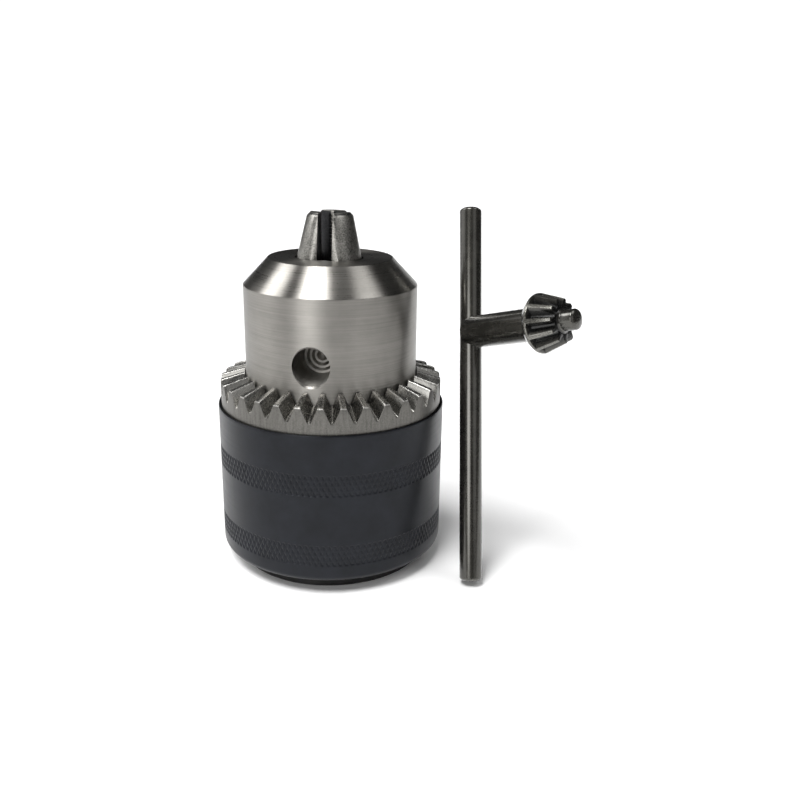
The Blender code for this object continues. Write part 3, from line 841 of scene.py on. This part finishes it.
class Nodes:
    """Short names for adding nodes to one tree."""

    def __init__(self, tree):
        self.tree = tree

    def add(self, kind, links=(), **values):
        node = self.tree.nodes.new(kind)
        for key, value in values.items():
            setattr(node, key, value)
        for socket, source in links:
            self.tree.links.new(source, node.inputs[socket])
        return node

    def place(self):
        return self.add("ShaderNodeTexCoord").outputs["Object"]

    def scaled(self, vector, scale):
        node = self.add("ShaderNodeMapping", [("Vector", vector)])
        node.inputs["Scale"].default_value = scale
        return node.outputs["Vector"]

    def axes(self, vector):
        return self.add("ShaderNodeSeparateXYZ", [("Vector", vector)]).outputs

    def across(self, axes):
        """Distance from the Z axis."""
        squares = [self.maths("POWER", axes[name], 2.0) for name in ("X", "Y")]
        return self.maths("SQRT", self.maths("ADD", *squares))

    def round_place(self, vector, around, radial, along):
        """Coordinates that run round Z, outwards and along Z, each with its own scale."""
        axes = self.axes(vector)
        flat = self.add("ShaderNodeCombineXYZ", [("X", axes["X"]), ("Y", axes["Y"])]).outputs[0]
        length = self.add("ShaderNodeVectorMath", [(0, flat)], operation="LENGTH").outputs["Value"]
        cosine = self.maths("DIVIDE", axes["X"], length)
        sine = self.maths("DIVIDE", axes["Y"], length)
        outwards = self.maths("MULTIPLY", length, radial)
        joined = self.add("ShaderNodeCombineXYZ", [
            ("X", self.maths("MULTIPLY", cosine, around)),
            ("Y", self.maths("ADD", self.maths("MULTIPLY", sine, around), outwards)),
            ("Z", self.maths("MULTIPLY", axes["Z"], along)),
        ])
        return joined.outputs[0]

    def maths(self, operation, first, second=None):
        node = self.add("ShaderNodeMath", operation=operation)
        for index, value in enumerate((first, second)):
            if value is None:
                continue
            if isinstance(value, (int, float)):
                node.inputs[index].default_value = value
            else:
                self.tree.links.new(value, node.inputs[index])
        return node.outputs[0]

    def weighted(self, first, *others):
        """The sum of (value, weight) terms."""
        total = self.maths("MULTIPLY", *first)
        for term in others:
            total = self.maths("ADD", total, self.maths("MULTIPLY", *term))
        return total

    def noise(self, vector, scale=1.0, detail=3.0, rough=0.6):
        node = self.add("ShaderNodeTexNoise", [("Vector", vector)])
        node.inputs["Scale"].default_value = scale
        node.inputs["Detail"].default_value = detail
        node.inputs["Roughness"].default_value = rough
        return node.outputs["Fac"]

    def ramp(self, value, span, tones):
        """The darker tone up to the span's start, the lighter one from its end, and a blend between."""
        node = self.add("ShaderNodeValToRGB", [("Fac", value)])
        for element, position, tone in zip(node.color_ramp.elements, span, tones):
            element.position = position
            element.color = (*tone, 1.0)
        return node.outputs["Color"]

    def range(self, value, span, result):
        """The first result up to the span's start, the second from its end, and a blend between."""
        node = self.add("ShaderNodeMapRange", [("Value", value)])
        for name, (low, high) in (("From", span), ("To", result)):
            node.inputs[f"{name} Min"].default_value = low
            node.inputs[f"{name} Max"].default_value = high
        return node.outputs["Result"]

    def rise(self, value, span):
        return self.range(value, span, (0.0, 1.0))

    def fall(self, value, span):
        return self.range(value, span, (1.0, 0.0))

    def blend(self, share, first, second):
        node = self.add("ShaderNodeMix", data_type="RGBA")
        for socket, source in (("Factor_Float", share), ("A_Color", first), ("B_Color", second)):
            self.tree.links.new(source, next(i for i in node.inputs if i.identifier == socket))
        return next(o for o in node.outputs if o.identifier == "Result_Color")

    def bump(self, height, strength, distance):
        node = self.add("ShaderNodeBump", [("Height", height)])
        node.inputs["Strength"].default_value = strength
        node.inputs["Distance"].default_value = distance
        return node.outputs["Normal"]


class Look(Nodes):
    """The nodes of one new material."""

    def __init__(self, name, colour, roughness, metallic=1.0):
        self.material = bpy.data.materials.new(name)
        self.material.use_nodes = True
        super().__init__(self.material.node_tree)
        self.shader = self.tree.nodes["Principled BSDF"]
        self.put("Base Color", (*colour, 1.0))
        self.put("Roughness", roughness)
        self.put("Metallic", metallic)

    def put(self, socket, value):
        self.shader.inputs[socket].default_value = value

    def link(self, source, socket):
        self.tree.links.new(source, self.shader.inputs[socket])


def turned_steel():
    """Bright steel off a lathe: fine marks that run round it, and a rear that is darker from the groove down.
    """
    look = Look("turned_steel", colour=(0.3, 0.29, 0.27), roughness=0.3)
    place = look.place()
    lathe = look.noise(look.round_place(place, around=0.6, radial=2200.0, along=6500.0), rough=0.7)
    broad = look.noise(look.round_place(place, around=1.5, radial=260.0, along=520.0))
    blotch = look.noise(place, scale=260.0)
    grain = look.noise(place, scale=5200.0, detail=2.0, rough=0.5)
    tone = look.weighted((lathe, 0.55), (broad, 0.25), (blotch, 0.2))
    bright = look.ramp(tone, WIDE_SPAN, STEEL_BRIGHT)
    # From the groove down the body takes the darker tone.
    dark_rear = look.ramp(blotch, WIDE_SPAN, STEEL_DARK_REAR)
    height = look.axes(place)["Z"]
    rear = look.fall(height, (GROOVE_Z[0] - REAR_BLEND, GROOVE_Z[0]))
    look.link(look.blend(rear, bright, dark_rear), "Base Color")
    rough = look.range(look.weighted((lathe, 0.6), (grain, 0.4)), WIDE_SPAN, (0.36, 0.50))
    nose = look.range(height, (SHOULDER_Z - NOSE_BLEND, SHOULDER_Z + NOSE_BLEND), (0.0, NOSE_SMOOTHER))
    look.link(look.maths("ADD", rough, nose), "Roughness")
    look.put("Anisotropic", 0.85)
    look.put("Anisotropic Rotation", 0.25)
    look.link(look.add("ShaderNodeTangent", direction_type="RADIAL", axis="Z").outputs[0], "Tangent")
    relief = look.weighted((lathe, 1.0), (grain, 0.25))
    look.link(look.bump(relief, strength=0.35, distance=0.02 * MM), "Normal")
    return look.material


def jaw_steel():
    """Hardened steel: a grainy back, gripping edge and tip in the steel's own tone, and flats made nearly
    black by painted shade, for the shade in the gaps between the jaws.
    """
    look = Look("jaw_steel", colour=(0.2, 0.19, 0.18), roughness=0.4)
    place = look.place()
    grain = look.noise(place, scale=4200.0, rough=0.65)
    blotch = look.noise(place, scale=900.0, detail=4.0)
    tone = look.weighted((grain, 0.75), (blotch, 0.25))
    axes = look.axes(place)
    back = look.rise(look.across(axes), JAW_BACK_BAND)
    edge = look.fall(look.maths("ABSOLUTE", axes["Y"]), JAW_LAND_BAND)
    level = look.weighted((axes["Z"], cos(JAW_LEAN)), (axes["X"], sin(JAW_LEAN)))
    tip = look.rise(level, JAW_TIP_BAND)
    # Painted shade turns the flats nearly black; the back, gripping edge and tip keep the steel's own tone.
    unshaded = look.maths("MAXIMUM", look.maths("MAXIMUM", back, edge), tip)
    dark = look.ramp(tone, TIGHT_SPAN, JAW_FLAT_SHADE)
    light = look.ramp(tone, TIGHT_SPAN, JAW_UNSHADED_TONE)
    look.link(look.blend(unshaded, dark, light), "Base Color")
    look.link(look.range(grain, WIDE_SPAN, (0.26, 0.44)), "Roughness")
    look.link(look.bump(tone, strength=0.5, distance=0.03 * MM), "Normal")
    return look.material


def tooth_steel():
    """Cut teeth: a coarse milled grain, worn bright crests, flanks painted lighter as painted highlight, and
    a duller, rougher outer face painted darker as painted shade.
    """
    look = Look("tooth_steel", colour=(0.4, 0.39, 0.37), roughness=0.38)
    place = look.place()
    grain = look.noise(place, scale=3800.0, rough=0.65)
    mill = look.noise(look.round_place(place, around=60.0, radial=900.0, along=300.0))
    tone = look.weighted((grain, 0.5), (mill, 0.5))
    axes = look.axes(place)
    across = look.across(axes)
    outer = look.rise(across, TOOTH_OUTER_BAND)
    # Painted highlight on the flanks, painted shade on the outer face.
    flank = look.ramp(tone, WIDE_SPAN, TOOTH_FLANK_HIGHLIT)
    face = look.ramp(tone, WIDE_SPAN, TOOTH_FACE_SHADED)
    drop = look.maths("MULTIPLY", look.maths("SUBTRACT", PILOT_HOLE_Z, axes["Z"]), RING_R)
    crest = look.fall(look.maths("DIVIDE", drop, across), TOOTH_CREST_BAND)
    worn = look.ramp(grain, WORN_SPAN, TOOTH_WORN)
    look.link(look.blend(crest, look.blend(outer, flank, face), worn), "Base Color")
    rougher = look.maths("MULTIPLY", outer, TOOTH_OUTER_ROUGHER)
    look.link(look.maths("ADD", look.range(tone, WIDE_SPAN, (0.22, 0.32)), rougher), "Roughness")
    look.link(look.bump(tone, strength=0.3, distance=0.02 * MM), "Normal")
    return look.material


def black_oxide():
    """Satin black oxide with a slight blue cast and faint handling marks."""
    look = Look("black_oxide", colour=(0.03, 0.033, 0.04), roughness=0.36, metallic=0.6)
    place = look.place()
    blotch = look.noise(place, scale=220.0, detail=4.0)
    lathe = look.noise(look.round_place(place, around=0.8, radial=1500.0, along=2800.0))
    grain = look.noise(place, scale=4800.0, detail=2.0, rough=0.5)
    look.link(look.ramp(blotch, WIDE_SPAN, JACKET_BLACK), "Base Color")
    rough = look.weighted((blotch, 0.6), (lathe, 0.4))
    look.link(look.range(rough, WIDE_SPAN, (0.3, 0.42)), "Roughness")
    relief = look.weighted((lathe, 0.5), (grain, 0.5))
    look.link(look.bump(relief, strength=0.2, distance=0.01 * MM), "Normal")
    return look.material


def pinion_colour(look, place, grain, colour):
    """The colour given, with painted shade that makes the gaps between the pinion's teeth black, and the
    crests worn to bright metal.
    """
    axes = look.axes(place)
    across = look.across(axes)
    apex = KEY_PINION_W[1] + KEY_PINION_R / KEY_PINION_SLOPE
    cone = look.maths("MULTIPLY", look.maths("SUBTRACT", apex, axes["Z"]), KEY_PINION_SLOPE)
    share = look.maths("DIVIDE", across, cone)
    within = look.maths("MULTIPLY", look.rise(axes["Z"], PINION_BAND), look.rise(across, PILOT_BAND))
    gap = look.maths("MULTIPLY", within, look.fall(share, PINION_GAP_SHARES))
    crest = look.maths("MULTIPLY", within, look.rise(share, PINION_CREST_SHARES))
    # Painted shade blackens the gaps between the pinion's teeth.
    gaps_shaded = look.blend(gap, colour, look.ramp(grain, WIDE_SPAN, KEY_GAP_SHADE))
    return look.blend(crest, gaps_shaded, look.ramp(grain, WORN_SPAN, KEY_WORN))


def gunmetal(name, toothed=False):
    """Oiled dark steel of the key, drawn along its length."""
    look = Look(name, colour=(0.05, 0.048, 0.043), roughness=0.3, metallic=0.9)
    place = look.place()
    drawn = look.noise(look.scaled(place, (2600.0, 2600.0, 60.0)))
    grain = look.noise(place, scale=5000.0, detail=2.0, rough=0.5)
    blotch = look.noise(place, scale=420.0, detail=4.0)
    colour = look.ramp(blotch, WIDE_SPAN, KEY_OILED)
    if toothed:
        colour = pinion_colour(look, place, grain, colour)
    look.link(colour, "Base Color")
    rough = look.weighted((drawn, 0.5), (blotch, 0.5))
    look.link(look.range(rough, WIDE_SPAN, (0.22, 0.32)), "Roughness")
    look.put("Coat Weight", 0.8)
    look.put("Coat Roughness", 0.12)
    relief = look.weighted((drawn, 0.6), (grain, 0.4))
    look.link(look.bump(relief, strength=0.2, distance=0.01 * MM), "Normal")
    return look.material


def floor_material():
    look = Look("pale_floor", colour=(0.9, 0.9, 0.9), roughness=0.7, metallic=0.0)
    soft = look.noise(look.place(), scale=3.0, detail=2.0, rough=0.5)
    look.link(look.ramp(soft, WIDE_SPAN, FLOOR_PALE), "Base Color")
    return look.material


# ---------------------------------------------------------------- camera, world and floor


def build_camera():
    data = bpy.data.cameras.new("camera")
    data.sensor_width = CAMERA_SENSOR_MM
    data.lens = CAMERA_LENS_MM
    data.clip_start, data.clip_end = CAMERA_CLIP
    camera = bpy.data.objects.new("camera", data)
    bpy.context.scene.collection.objects.link(camera)
    pitch = Matrix.Rotation(pi / 2 - CAMERA_DOWN, 4, "X")
    roll = Matrix.Rotation(CAMERA_ROLL, 4, "Z")
    camera.matrix_world = Matrix.Translation(CAMERA_PLACE) @ pitch @ roll
    bpy.context.scene.camera = camera


def direction_share(nodes, where, bearing, elevation, inner, outer):
    """1 within an angle of a direction, falling to 0 at a wider angle."""
    level = bearing_vector(radians(bearing)) * cos(radians(elevation))
    aligned = nodes.add("ShaderNodeVectorMath", [(0, where)], operation="DOT_PRODUCT")
    aligned.inputs[1].default_value = level + Vector((0, 0, sin(radians(elevation))))
    source = [("Value", aligned.outputs["Value"])]
    share = nodes.add("ShaderNodeMapRange", source, interpolation_type="SMOOTHSTEP")
    share.inputs["From Min"].default_value = cos(radians(outer))
    share.inputs["From Max"].default_value = cos(radians(inner))
    return share.outputs["Result"]


def build_world():
    """White to the camera; to all other rays it is dim, with soft boxes set by direction."""
    world = bpy.data.worlds.new("studio")
    bpy.context.scene.world = world
    world.use_nodes = True
    nodes = Nodes(world.node_tree)
    where = nodes.add("ShaderNodeTexCoord").outputs["Generated"]
    light = WORLD_DIM
    for *box, strength in WORLD_BOXES:
        share = direction_share(nodes, where, *box)
        light = nodes.maths("ADD", light, nodes.maths("MULTIPLY", share, strength))
    seen = nodes.add("ShaderNodeLightPath").outputs["Is Camera Ray"]
    hidden = nodes.maths("SUBTRACT", 1.0, seen)
    total = nodes.weighted((light, hidden), (seen, WORLD_SHOWN))
    background = nodes.tree.nodes["Background"]
    background.inputs["Color"].default_value = (1.0, 1.0, 1.0, 1.0)
    nodes.tree.links.new(total, background.inputs["Strength"])


def build_floor():
    mesh = bpy.data.meshes.new("floor")
    bm = bmesh.new()
    bmesh.ops.create_grid(bm, x_segments=FLOOR_CELLS, y_segments=FLOOR_CELLS, size=FLOOR_HALF)
    bm.to_mesh(mesh)
    bm.free()
    floor = link("floor", mesh, floor_material())


def main():
    bpy.context.scene.view_settings.view_transform = "Standard"
    build_camera()
    build_world()
    build_floor()
    steel, jaws, teeth = turned_steel(), jaw_steel(), tooth_steel()
    oxide, key = black_oxide(), gunmetal("gunmetal")
    pinion = gunmetal("gunmetal_pinion", toothed=True)
    pieces = [
        (build_body(steel), "chuck", "chuck_body", "body_steel"),
        (build_ring(teeth), "sleeve", "ring_gear", "ring_steel"),
        (build_jacket(oxide), "sleeve", "sleeve_jacket", "jacket_black"),
        (build_key_bar(key), "key", "key_bar", "key_black"),
        (build_key_shaft(pinion), "key", "key_shaft", "key_black"),
    ]
    for index in range(JAW_COUNT):
        name = f"jaw_{index + 1}"
        pieces.append((build_jaw(index, jaws), name, name, "jaw_steel"))
    for piece, body, node, slot in pieces:
        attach(piece, body)
        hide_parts(node)
    for name in ("nut_half_a", "nut_half_b"):
        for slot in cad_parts[name].material_slots:
            slot.material = jaws


main()
